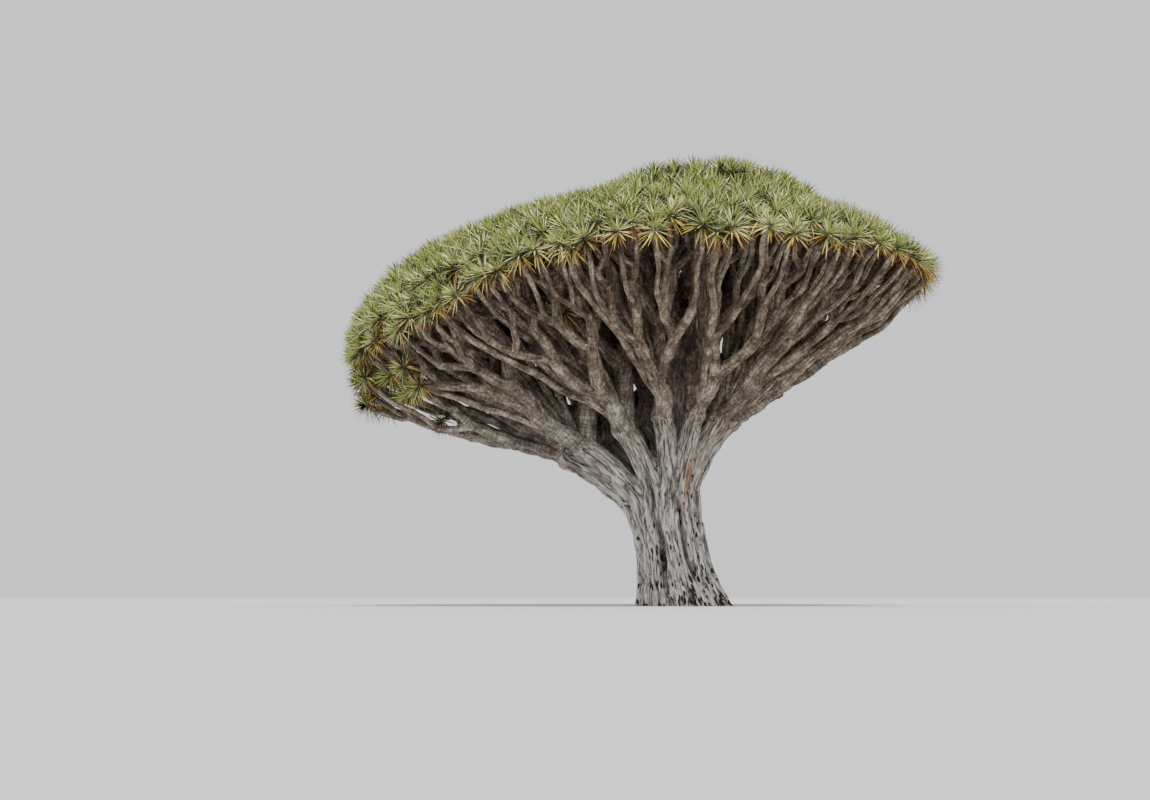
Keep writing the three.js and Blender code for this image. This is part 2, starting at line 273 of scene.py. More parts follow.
def plan_bough(name, aim, cells):
    """A bough towards its aim, and the limbs from its fork, one for each of its cells."""
    children = []
    for suffix, cell, number in cells:
        to = crown_point(*cell_aim(cell, number))
        limb = Limb(aim, to, BOUGH_T, BRANCH_T, BRANCH_T, rosettes_in(cell, number))
        children.append({"name": f"{name}_{suffix}", "cell": cell, "number": number, "limb": limb})
    rosettes = sum(rosettes_in(cell, number) for _, cell, number in cells)
    limb = Limb(aim, aim, 0, BOUGH_T, BOUGH_T, rosettes)
    return {"name": name, "limb": limb, "children": children}


boughs = []
for i, (name, azimuth) in enumerate(SECTORS):
    before = SECTORS[i - 1][1] - (360 if i == 0 else 0)
    after = SECTORS[(i + 1) % len(SECTORS)][1] + (360 if i == len(SECTORS) - 1 else 0)
    a0, a1 = math.radians((before + azimuth) / 2), math.radians((azimuth + after) / 2)
    middle = (a0 + a1) / 2
    left = max(0, -math.cos(middle))
    end_u = END_U + END_U_LEFT * left**HANG_POWER
    low = name == "left"
    edges = [CENTRE_U, *LEFT_U, end_u] if low else [CENTRE_U, INNER_U, end_u]
    cells = [
        (suffix, (edges[k], edges[k + 1], a0, a1), FIRST_NUMBER + NUMBERS_EACH * i + k)
        for k, suffix in enumerate(LEFT_CELLS if low else CELLS)
    ]
    boughs.append(plan_bough(name, crown_point(AIM_U + AIM_U_LEFT * left**AIM_POWER, middle), cells))
third = 2 * math.pi / CENTRE_PARTS
cells = [
    (f"{k + 1}", (0, CENTRE_U, k * third, (k + 1) * third), CENTRE_NUMBER + k)
    for k in range(CENTRE_PARTS)
]
boughs.append(plan_bough("centre", crown_point(AIM_U_CENTRE, 0), cells))

# Trunk: height, middle and radius of its outline. Its column is slimmer than that, and the ribs stand out.
MIDDLE = 1
OUTLINE = 2
TRUNK = np.array([
    (-0.2, 0.07, 1.31), (0.0, 0.01, 1.23), (0.42, -0.11, 1.06), (1.34, -0.24, 0.96),
    (2.27, -0.42, 0.93), (2.9, -0.5, 0.96), (3.5, -0.4, 0.88), (4.0, -0.34, 0.5),
])
COLUMN_SHARE = 0.78
COLUMN_SIDES = 40
COLUMN_STEPS = 22
RIB_TOP_T = 0.1
RIB_TOP_Z = 2.3
RIB_STEPS = 9
RIB_TWIST = 0.22
RIB_TWIST_BACK = 0.2
RIB_CHANCES = 17
RIB_FOOT = 0.12
RIB_ROUNDINGS = 3
WAY_STEPS = 24
KNUCKLE = 1.14
KNUCKLE_ENDS = ((0.4, 0.93), (0.7, 0.74), (0.9, 0.46))
RIB_BEVEL = 5
VOXEL = 0.032
SOFTEN_SHARE = 0.5
SOFTEN_ROUNDS = 5


def trunk_at(z, column):
    """The middle or outline of the trunk at a height, on a smooth curve through the table."""
    heights, values = TRUNK[:, 0], TRUNK[:, column]
    slopes = np.gradient(values, heights)
    i = int(np.clip(np.searchsorted(heights, z) - 1, 0, len(heights) - 2))
    step = heights[i + 1] - heights[i]
    s = (z - heights[i]) / step
    start = (1 + 2 * s) * (1 - s) ** 2 * values[i] + s * (1 - s) ** 2 * step * slopes[i]
    return start + s * s * (3 - 2 * s) * values[i + 1] + s * s * (s - 1) * step * slopes[i + 1]


def knuckled(points, radii):
    """Rounds off a course of points at its far end with a swelling, from which the next limbs grow."""
    along = (points[-1] - points[-2]).normalized()
    tip, thick = points[-1], radii[-1] * KNUCKLE
    radii[-1] = thick
    for out, share in KNUCKLE_ENDS:
        points.append(tip + along * thick * out)
        radii.append(thick * share)
    return points, radii


def bough_course(bough):
    """The points and radii of a bough, from the ground as a rib of the trunk, up to its fork."""
    limb = bough["limb"]
    points, radii = [], []
    top_radius = limb.radius(0)
    if bough["name"] != "centre":
        azimuth = math.atan2(limb.to.y, limb.to.x - AXIS_X)
        for k in range(RIB_STEPS):
            z = TRUNK[0, 0] + (RIB_TOP_Z - TRUNK[0, 0]) * k / (RIB_STEPS - 1)
            low = 1 - z / RIB_TOP_Z
            twist = chance(k + RIB_CHANCES * azimuth, RIB_TURN) - RIB_TWIST_BACK
            turn = azimuth + RIB_TWIST * low * twist
            radius = top_radius * (1 + RIB_FOOT * low * low)
            out = trunk_at(z, OUTLINE) - radius
            points.append(Vector((trunk_at(z, MIDDLE) + out * math.cos(turn), out * math.sin(turn), z)))
            radii.append(radius)
    first = RIB_TOP_T if points else 0
    for k in range(WAY_STEPS + 1):
        t = first + (BOUGH_T - first) * k / WAY_STEPS
        points.append(limb.point(t))
        radii.append(limb.radius(t))
    for _ in range(RIB_ROUNDINGS):
        inner = [(a + b * 2 + c) / 4 for a, b, c in zip(points, points[1:], points[2:])]
        points = [points[0], *inner, points[-1]]
    return knuckled(points, radii)


bpy.ops.object.select_all(action="DESELECT")
bpy.ops.mesh.primitive_circle_add(
    vertices=COLUMN_SIDES,
    radius=trunk_at(TRUNK[0, 0], OUTLINE) * COLUMN_SHARE,
    fill_type="NGON",
    location=(trunk_at(TRUNK[0, 0], MIDDLE), 0, TRUNK[0, 0]),
)
trunk = bpy.context.object
trunk.name = "trunk_and_boughs"
bpy.ops.object.mode_set(mode="EDIT")
height = TRUNK[0, 0]
for step in range(1, COLUMN_STEPS + 1):
    new_height = TRUNK[0, 0] + (TRUNK[-1, 0] - TRUNK[0, 0]) * step / COLUMN_STEPS
    shift = trunk_at(new_height, MIDDLE) - trunk_at(height, MIDDLE)
    grow = trunk_at(new_height, OUTLINE) / trunk_at(height, OUTLINE)
    bpy.ops.mesh.extrude_region_move(TRANSFORM_OT_translate={"value": (shift, 0, new_height - height)})
    centre = (trunk_at(new_height, MIDDLE), 0, new_height)
    bpy.ops.transform.resize(value=(grow, grow, 1), center_override=centre)
    height = new_height
bpy.ops.mesh.select_all(action="SELECT")
bpy.ops.mesh.normals_make_consistent(inside=False)
bpy.ops.object.mode_set(mode="OBJECT")

# The boughs are tubes along their courses, joined with the column under one skin
courses = [bough_course(bough) for bough in boughs]
rib_curve = bpy.data.curves.new("ribs", "CURVE")
rib_curve.dimensions = "3D"
rib_curve.bevel_depth = 1
rib_curve.bevel_resolution = RIB_BEVEL
rib_curve.use_fill_caps = True
for points, radii in courses:
    spline = rib_curve.splines.new("POLY")
    spline.points.add(len(points) - 1)
    for place, point, radius in zip(spline.points, points, radii):
        place.co = (*point, 1)
        place.radius = radius
ribs = bpy.data.objects.new("ribs", rib_curve)
bpy.context.collection.objects.link(ribs)
bpy.ops.object.select_all(action="DESELECT")
ribs.select_set(True)
bpy.context.view_layer.objects.active = ribs
bpy.ops.object.convert(target="MESH")
trunk.select_set(True)
bpy.context.view_layer.objects.active = trunk
bpy.ops.object.join()
bpy.ops.object.transform_apply(location=True, rotation=True, scale=True)
remesh = trunk.modifiers.new("one skin", "REMESH")
remesh.mode = "VOXEL"
remesh.voxel_size = VOXEL
bpy.ops.object.modifier_apply(modifier=remesh.name)
soften = trunk.modifiers.new("grown together", "SMOOTH")
soften.factor = SOFTEN_SHARE
soften.iterations = SOFTEN_ROUNDS
bpy.ops.object.modifier_apply(modifier=soften.name)
bpy.ops.object.mode_set(mode="EDIT")
bpy.ops.mesh.select_all(action="SELECT")
bpy.ops.mesh.bisect(plane_co=(0, 0, 0), plane_no=(0, 0, 1), use_fill=True, clear_inner=True)
bpy.ops.object.mode_set(mode="OBJECT")

# The bark's pattern is laid out along the grain: two measures across the wood and one along it. They are
# taken from samples along the column and the boughs, each a row of its place, its three ways, its radius and
# its run.
SAMPLE_STEP = 0.1
COLUMN_SAMPLES = 30
COLUMN_PHASE = 50
BOUGH_PHASE = 3.7
NO_GRAIN_WAY = np.array([0.31, 0.95, 0.05])
PLACE, ALONG, ASIDE, OVER = slice(0, 3), slice(3, 6), slice(6, 9), slice(9, 12)
RADIUS, RUN = 12, 13
AT_ONCE = 4000

# Relief of the bark: soft lumps, knots near the ground, long cracks and deep slits between the fibres
LUMP = 0.03
LUMP_SPAN = 0.3
KNOT = 0.05
KNOT_SPAN = 0.22
KNOT_LENGTH = 0.352
KNOT_TOP = 1.7
KNOT_SALT = 12.4
CRACK_WIDTH = 0.085
CRACK_LENGTH = 0.5
CRACK_DEPTH = 0.03
CRACK_EDGE = 0.22
SLIT_WIDTH = 0.1
SLIT_LENGTH = 0.36
SLIT_DEPTH = 0.08
SLIT_AMOUNT = 0.26
SLIT_MORE = 0.12
SLIT_EDGE = 0.2
SLIT_FADE = (2.7, 4.9)
SLIT_SALT = 31.7


def axis_samples(points, radii, phase):
    """Places, directions, radii and lengths at even steps along a course, for laying out the bark."""
    places = np.array([tuple(point) for point in points])
    run = np.concatenate([[0], np.cumsum(np.linalg.norm(np.diff(places, axis=0), axis=1))])
    at = np.linspace(0, run[-1], max(2, int(run[-1] / SAMPLE_STEP)))
    middle = np.stack([np.interp(at, run, places[:, k]) for k in range(3)], axis=1)
    along = np.gradient(middle, axis=0)
    along /= np.linalg.norm(along, axis=1, keepdims=True)
    side = np.cross(along, NO_GRAIN_WAY)
    side /= np.linalg.norm(side, axis=1, keepdims=True)
    radius = np.interp(at, run, radii)
    return np.hstack([middle, along, side, np.cross(along, side), radius[:, None], at[:, None] + phase])


def grain_of(places, samples):
    """For each point, its place across and along the nearest wood."""
    grain = np.zeros_like(places)
    for first in range(0, len(places), AT_ONCE):
        some = slice(first, first + AT_ONCE)
        gap = np.linalg.norm(places[some, None, :] - samples[None, :, PLACE], axis=2)
        near = samples[np.argmin(gap - samples[None, :, RADIUS], axis=1)]
        offset = places[some] - near[:, PLACE]
        grain[some, 0] = np.einsum("ij,ij->i", offset, near[:, ASIDE])
        grain[some, 1] = np.einsum("ij,ij->i", offset, near[:, OVER])
        grain[some, 2] = near[:, RUN] + np.einsum("ij,ij->i", offset, near[:, ALONG])
    return grain


def read_vectors(mesh, kind="co"):
    data = np.zeros(len(mesh.vertices) * 3, np.float32)
    mesh.vertices.foreach_get(kind, data)
    return data.reshape(-1, 3).astype(float)


def smooth_step(values, low, high):
    share = np.clip((values - low) / (high - low), 0, 1)
    return share * share * (3 - 2 * share)


def noise_at(grain, width, length, salt=0.0):
    """Smooth noise from -1 to 1 in grains of this width across and this length along the wood."""
    scaled = grain * np.array([1 / width, 1 / width, 1 / length]) + salt
    return np.array([noise.noise(Vector(point)) for point in scaled])


def store(mesh, name, values):
    """Keeps a number or a vector for each point of a mesh, for its material to read."""
    kind = "FLOAT_VECTOR" if values.ndim == 2 else "FLOAT"
    attribute = mesh.attributes.new(name, kind, "POINT")
    field = "vector" if values.ndim == 2 else "value"
    attribute.data.foreach_set(field, values.astype(np.float32).ravel())


column_heights = np.linspace(TRUNK[0, 0], TRUNK[-1, 0], COLUMN_SAMPLES)
column_course = [Vector((trunk_at(z, MIDDLE), 0, z)) for z in column_heights]
column_radii = [trunk_at(z, OUTLINE) * COLUMN_SHARE for z in column_heights]
samples = [axis_samples(column_course, column_radii, COLUMN_PHASE)]
samples += [axis_samples(points, radii, BOUGH_PHASE * i) for i, (points, radii) in enumerate(courses)]
samples = np.vstack(samples)
mesh = trunk.data
places, normals = read_vectors(mesh), read_vectors(mesh, "normal")
grain = grain_of(places, samples)
heights = places[:, 2]
lumps = noise_at(places, LUMP_SPAN, LUMP_SPAN)
low = 1 - smooth_step(heights, 0, KNOT_TOP)
knots = low * noise_at(grain, KNOT_SPAN, KNOT_LENGTH, KNOT_SALT)
cracks = 1 - np.clip(np.abs(noise_at(grain, CRACK_WIDTH, CRACK_LENGTH)) / CRACK_EDGE, 0, 1)
slit_at = SLIT_AMOUNT - SLIT_MORE * low
slits = smooth_step(noise_at(grain, SLIT_WIDTH, SLIT_LENGTH, SLIT_SALT) - slit_at, 0, SLIT_EDGE)
slits *= 1 - smooth_step(heights, *SLIT_FADE)

# Clefts between the ribs, each at its azimuth in degrees, wander a little on their way up, and close at the
# foot and under the boughs
CLEFTS = [24, 66, 108, 152, 207, 248, 293, 335]
CLEFT_WIDTH = 0.07
CLEFT_DEPTH = 0.24
CLEFT_WANDER = 0.2
CLEFT_WANDER_SPAN = 0.9
CLEFT_SALT = 5.3
CLEFT_OPEN = (0.1, 1.1)
CLEFT_CLOSE = (2.8, 3.8)
middle_x = np.interp(heights, TRUNK[:, 0], TRUNK[:, MIDDLE])
radius = np.hypot(places[:, 0] - middle_x, places[:, 1])
azimuth = np.arctan2(places[:, 1], places[:, 0] - middle_x)
clefts = np.zeros(len(places))
for number, cleft in enumerate(CLEFTS):
    line = np.stack([np.full(len(places), CLEFT_SALT * number), np.zeros(len(places)), heights], axis=1)
    wander = CLEFT_WANDER * noise_at(line, 1, CLEFT_WANDER_SPAN)
    aside = (azimuth - math.radians(cleft) - wander + math.pi) % (2 * math.pi) - math.pi
    clefts = np.maximum(clefts, np.exp(-((aside * radius / CLEFT_WIDTH) ** 2)))
clefts *= smooth_step(heights, *CLEFT_OPEN)
clefts *= 1 - smooth_step(heights, *CLEFT_CLOSE)
relief = LUMP * lumps + KNOT * knots - CRACK_DEPTH * cracks - SLIT_DEPTH * slits - CLEFT_DEPTH * clefts

# One strip on the front, beside the middle rib, has lost its bark
BARE_X = 0.16
BARE_Z = 3.1
BARE_LEAN = 0.12
BARE_WIDTH = 0.09
BARE_HEIGHT = 0.5
BARE_ENDS = 4
FRONT_Y = -0.475
aside = (places[:, 0] - BARE_X - BARE_LEAN * (heights - BARE_Z)) / BARE_WIDTH
bare = np.exp(-(aside**2) - ((heights - BARE_Z) / BARE_HEIGHT) ** BARE_ENDS) * (places[:, 1] < FRONT_Y)

# The flat cut stays at ground level. The material reads how hollow each point is, and darkens it as painted
# shade in the cracks, slits and clefts.
CUT_Z = 0.002
# How much painted shade the cracks, slits and clefts each get
CRACK_SHADE = 0.1
SLIT_SHADE = 0.4
CLEFT_SHADE = 0.5
on_ground = places[:, 2] < CUT_Z
places += normals * relief[:, None]
places[on_ground, 2] = 0
places[:, 2] = np.maximum(places[:, 2], 0)
mesh.vertices.foreach_set("co", places.astype(np.float32).ravel())
store(mesh, "grain", grain)
store(mesh, "painted_hollow_shade", np.clip(CRACK_SHADE * cracks + SLIT_SHADE * slits + CLEFT_SHADE * clefts, 0, 1))
store(mesh, "bare", bare)
mesh.shade_smooth()
mesh.update()


def linear(code):
    """A colour of the screen, such as #8f8b85, as the shader's linear one."""
    parts = [int(code[i : i + 2], 16) / 255 for i in (1, 3, 5)]
    return (*[c / 12.92 if c <= 0.04045 else ((c + 0.055) / 1.055) ** 2.4 for c in parts], 1)


def add_node(tree, kind, inputs=(), stops=(), **settings):
    """A shader node with its inputs, linked or set, the stops of its colour ramp and its settings."""
    made = tree.nodes.new(kind)
    for name, value in settings.items():
        setattr(made, name, value)
    for name, value in dict(inputs).items():
        if isinstance(value, bpy.types.NodeSocket):
            tree.links.new(value, made.inputs[name])
        else:
            made.inputs[name].default_value = value
    for i, (place, colour) in enumerate(stops):
        stop = made.color_ramp.elements[i] if i < 2 else made.color_ramp.elements.new(place)
        stop.position, stop.color = place, linear(colour)
    return made


# Old cork-like bark of the trunk and boughs: rough grey fibres without any shine, with slits darkened as
# painted shade, and browner and darker up the boughs, partly the bark's own tone and partly painted shade
# under the crown.
# The sizes of its patterns are in millimetres, across and along the grain. Real fibres are a few millimetres
# wide and real cracks less, so they are drawn as coarse as they need to show. Heights are in metres.
BARK_PLATES = (77, 385)
BARK_FIBRES = (28, 350)
BARK_SLITS = (76, 270)
BARK_CRACKS = (48, 680)
BARK_PATCHES = 526
BARK_BUMP = 60
SLIT_PATCHES = 385
SLIT_SIZES = (0.07, 0.25)
SLIT_HEIGHTS = (4.6, 0.6)
SLIT_SIZES_BY_HEIGHT = (0.3, 1.65)
BROWN_AND_SHADED_HEIGHTS = (2.3, 4.7)
BROWN_PATCHES = 1.9
BARK_ROUGHNESS = 0.92
BARK_SPECULAR = 0.25


def pattern_scale(width, length):
    """The Mapping scale at which one grain of a pattern is this wide and long in millimetres."""
    return 1000 / width, 1000 / width, 1000 / length


def cracked_bark():
    material = bpy.data.materials.new("cracked_grey_bark")
    material.use_nodes = True
    tree = material.node_tree
    shader = tree.nodes["Principled BSDF"]
    grain = add_node(tree, "ShaderNodeAttribute", attribute_name="grain").outputs["Vector"]
    painted_hollow_shade = add_node(tree, "ShaderNodeAttribute", attribute_name="painted_hollow_shade").outputs["Fac"]
    bare = add_node(tree, "ShaderNodeAttribute", attribute_name="bare").outputs["Fac"]
    place = add_node(tree, "ShaderNodeTexCoord").outputs["Object"]
    height = add_node(tree, "ShaderNodeSeparateXYZ", {0: place}).outputs["Z"]
    plates_at = add_node(tree, "ShaderNodeMapping", {"Vector": grain, "Scale": pattern_scale(*BARK_PLATES)})
    plates = add_node(
        tree, "ShaderNodeTexNoise",
        {"Vector": plates_at.outputs[0], "Scale": 1, "Detail": 5, "Roughness": 0.65},
    )
    fibres_at = add_node(tree, "ShaderNodeMapping", {"Vector": grain, "Scale": pattern_scale(*BARK_FIBRES)})
    fibres = add_node(tree, "ShaderNodeTexNoise", {"Vector": fibres_at.outputs[0], "Scale": 1, "Detail": 3})
    patches = add_node(
        tree, "ShaderNodeTexNoise", {"Vector": place, "Scale": 1000 / BARK_PATCHES, "Detail": 3}
    )
    tone = add_node(
        tree, "ShaderNodeMix", {0: 0.5, 2: plates.outputs["Fac"], 3: fibres.outputs["Fac"]}, data_type="FLOAT"
    ).outputs[0]

    # Slits: one in each cell of a long pattern, wide where the noise is high and towards the ground
    slits_at = add_node(tree, "ShaderNodeMapping", {"Vector": grain, "Scale": pattern_scale(*BARK_SLITS)})
    cells = add_node(tree, "ShaderNodeTexVoronoi", {"Vector": slits_at.outputs[0], "Scale": 1})
    more = add_node(
        tree, "ShaderNodeTexNoise", {"Vector": place, "Scale": 1000 / SLIT_PATCHES, "Detail": 1}
    )
    more_here = add_node(
        tree, "ShaderNodeMapRange",
        {"Value": more.outputs["Fac"], 1: 0.4, 2: 0.6, 3: SLIT_SIZES[0], 4: SLIT_SIZES[1]},
    )
    lower = add_node(
        tree, "ShaderNodeMapRange",
        {
            "Value": height, 1: SLIT_HEIGHTS[0], 2: SLIT_HEIGHTS[1],
            3: SLIT_SIZES_BY_HEIGHT[0], 4: SLIT_SIZES_BY_HEIGHT[1],
        },
    )
    size = add_node(
        tree, "ShaderNodeMath", {0: more_here.outputs[0], 1: lower.outputs[0]}, operation="MULTIPLY"
    ).outputs[0]
    inside = add_node(tree, "ShaderNodeMath", {0: cells.outputs["Distance"], 1: size}, operation="SUBTRACT")
    holes = add_node(tree, "ShaderNodeMapRange", {"Value": inside.outputs[0], 1: 0.0, 2: 0.06, 3: 1, 4: 0})

    # Long thin cracks between the fibres
    cracks_at = add_node(tree, "ShaderNodeMapping", {"Vector": grain, "Scale": pattern_scale(*BARK_CRACKS)})
    cracks = add_node(tree, "ShaderNodeTexNoise", {"Vector": cracks_at.outputs[0], "Scale": 1, "Detail": 4})
    thin = add_node(
        tree, "ShaderNodeMapRange", {"Value": cracks.outputs["Fac"], 1: 0.56, 2: 0.63, 3: 0, 4: 0.75}
    )
    slits = add_node(
        tree, "ShaderNodeMath", {0: holes.outputs[0], 1: thin.outputs[0]}, operation="MAXIMUM"
    ).outputs[0]

    grey = add_node(
        tree, "ShaderNodeValToRGB", {"Fac": tone},
        stops=[(0.37, "#827b75"), (0.46, "#b6b1ab"), (0.54, "#dad7d2"), (0.64, "#f0eeea")],
    )
    brown = add_node(
        tree, "ShaderNodeValToRGB", {"Fac": tone},
        stops=[(0.37, "#483f37"), (0.46, "#776c60"), (0.54, "#9e9386"), (0.64, "#cac3b8")],
    )
    # Browner and darker up the boughs, in patches: partly the bark's own tone and partly painted shade under
    # the crown
    up = add_node(tree, "ShaderNodeMapRange", {"Value": height, 1: BROWN_AND_SHADED_HEIGHTS[0], 2: BROWN_AND_SHADED_HEIGHTS[1]})
    up_patched = add_node(
        tree, "ShaderNodeMath", {0: up.outputs[0], 1: patches.outputs["Fac"]}, operation="MULTIPLY"
    )
    up_more = add_node(
        tree, "ShaderNodeMath",
        {0: up_patched.outputs[0], 1: BROWN_PATCHES}, operation="MULTIPLY", use_clamp=True,
    )
    bark = add_node(
        tree, "ShaderNodeMix",
        {0: up_more.outputs[0], 6: grey.outputs[0], 7: brown.outputs[0]}, data_type="RGBA",
    )

    # Living wood shows where the strip of bark is gone, torn along the fibres
    torn = add_node(tree, "ShaderNodeMapRange", {"Value": fibres.outputs["Fac"], 1: 0.4, 2: 0.5})
    strip = add_node(tree, "ShaderNodeMath", {0: bare, 1: torn.outputs[0]}, operation="MULTIPLY").outputs[0]
    stripped = add_node(
        tree, "ShaderNodeMix", {0: strip, 6: bark.outputs[2], 7: linear("#a87650")}, data_type="RGBA"
    )
    # Painted shade: the hollows of the trunk's mesh and the slits and cracks of the pattern are darkened to a
    # deep grey-brown
    painted_shade = add_node(tree, "ShaderNodeMath", {0: painted_hollow_shade, 1: slits}, operation="MAXIMUM").outputs[0]
    colour = add_node(
        tree, "ShaderNodeMix", {0: painted_shade, 6: stripped.outputs[2], 7: linear("#39312c")}, data_type="RGBA"
    )
    tree.links.new(colour.outputs[2], shader.inputs["Base Color"])
    relief = add_node(tree, "ShaderNodeMath", {0: tone, 1: slits}, operation="SUBTRACT")
    bump = add_node(
        tree, "ShaderNodeBump", {"Height": relief.outputs[0], "Distance": BARK_BUMP / 1000, "Strength": 1}
    )
    tree.links.new(bump.outputs[0], shader.inputs["Normal"])
    shader.inputs["Roughness"].default_value = BARK_ROUGHNESS
    shader.inputs["Specular IOR Level"].default_value = BARK_SPECULAR
    return material


trunk.data.materials.clear()
trunk.data.materials.append(cracked_bark())
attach(trunk, "root")
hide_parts("trunk", *[f"bough_{bough['name']}" for bough in boughs])

# Limbs and twigs: every bough forks, and forks again, up to one short twig for each rosette. Young wood is
# ringed by the scars of fallen leaves and swells into a knuckle at every fork.
GROUPS = {
    "left": ("left", "left_front", "left_back", "left_side"),
    "front": ("front_left", "front", "front_right"),
    "right": ("right_front", "right", "right_back"),
    "back": ("back_right", "back", "back_left"),
    "centre": ("centre",),
}
COURSE_STEP = 0.085
FEWEST_STEPS = 4
RING_DEPTH = 0.05
RING_SPAN = 0.11
RING_WANDER = 0.5
WOOD_LUMP = 0.2
WOOD_LUMP_SPAN = 0.2
TUBE_SIDES = ((0.07, 6), (0.1, 8), (0.16, 12))
TUBE_SIDES_THICK = 16
TUBE_PHASE = 2.3
TUBE_END = 0.5
HEART_DEPTH = 0.012

# Here and there an old limb sprouts a short side shoot with one rosette, low inside the crown. Many of the
# low limbs on the left do, and their shoots hang.
SHOOT_CHANCE = 0.008
SHOOT_LENGTH = 0.42
SHOOT_RISE = 0.4
LOW_SHOOT_CHANCE = 0.4
LOW_SHOOT_RISE = -0.55
LOW_LIMB_X = -5.2
LOW_LIMB_Z = 6.3

# Thin limbs without forks fill the space between two boughs. Each ends at one share of the depth of a cell,
# on its edge, and is as thick as a limb that feeds two rosettes.
FILLING = (0.25, 0.55, 0.85)
FILLING_TURNED = 0.9
FILLING_STOP = 0.985
FILLING_ROSETTES = 2


class Shoot:
    """A side shoot from the middle of a limb, away from the trunk and up, or down from a low limb."""

    def __init__(self, limb):
        self.foot = limb.point((limb.start + limb.stop) / 2)
        self.low = self.foot.x < LOW_LIMB_X and self.foot.z < LOW_LIMB_Z
        self.likely = LOW_SHOOT_CHANCE if self.low else SHOOT_CHANCE
        rise = LOW_SHOOT_RISE if self.low else SHOOT_RISE
        self.away = Vector((self.foot.x - AXIS_X, self.foot.y, 0)).normalized()
        self.reach = (self.away + Vector((0, 0, rise))) * SHOOT_LENGTH
        self.start, self.stop, self.thick = 0, 1, TWIG_RADIUS

    def point(self, t):
        return self.foot + self.reach * t

    def radius(self, t):
        return self.thick


def grow_twigs(cell, number, origin, start, wood, tips):
    """Forks a limb at every halving of its cell, and adds each new limb to wood and each last one to tips."""
    for k, part in enumerate(halves(cell, number)):
        child = 2 * number + 1 + k
        u, azimuth = cell_aim(part, child)
        to = crown_point(u, azimuth)
        end = start + (1 - start) * BRANCH_STEP
        last = is_rosette(part)
        stop = 1 - HEART_DEPTH * chance(child, HEART_AT) if last else end
        limb = Limb(origin, to, start, end, stop, rosettes_in(part, child))
        wood.append(limb)
        if last:
            tips.append({"limb": limb, "normal": crown_normal(u, azimuth)})
            continue
        shoot = Shoot(limb)
        if chance(child, SIDE_SHOOT) < shoot.likely:
            wood.append(shoot)
            tips.append({"limb": shoot, "normal": shoot.away})
        grow_twigs(part, child, to, end, wood, tips)


def limb_course(limb):
    """The points and radii of a limb, with the knuckle at its end."""
    length = (limb.point(limb.stop) - limb.point(limb.start)).length
    count = max(FEWEST_STEPS, round(length / COURSE_STEP))
    steps = [limb.start + (limb.stop - limb.start) * k / count for k in range(count + 1)]
    points = [limb.point(t) for t in steps]
    radii = [limb.radius(t) for t in steps]
    return knuckled(points, radii)


def made_mesh(name, places, quads, triangles):
    """A mesh from arrays of points and of faces with four and three corners."""
    mesh = bpy.data.meshes.new(name)
    mesh.vertices.add(len(places))
    mesh.vertices.foreach_set("co", places.astype(np.float32).ravel())
    corners = np.concatenate([quads.ravel(), triangles.ravel()]).astype(np.int32)
    sizes = np.concatenate([np.full(len(quads), 4), np.full(len(triangles), 3)])
    mesh.loops.add(len(corners))
    mesh.loops.foreach_set("vertex_index", corners)
    mesh.polygons.add(len(sizes))
    starts = np.concatenate([[0], np.cumsum(sizes)[:-1]]).astype(np.int32)
    mesh.polygons.foreach_set("loop_start", starts)
    mesh.update(calc_edges=True)
    return mesh


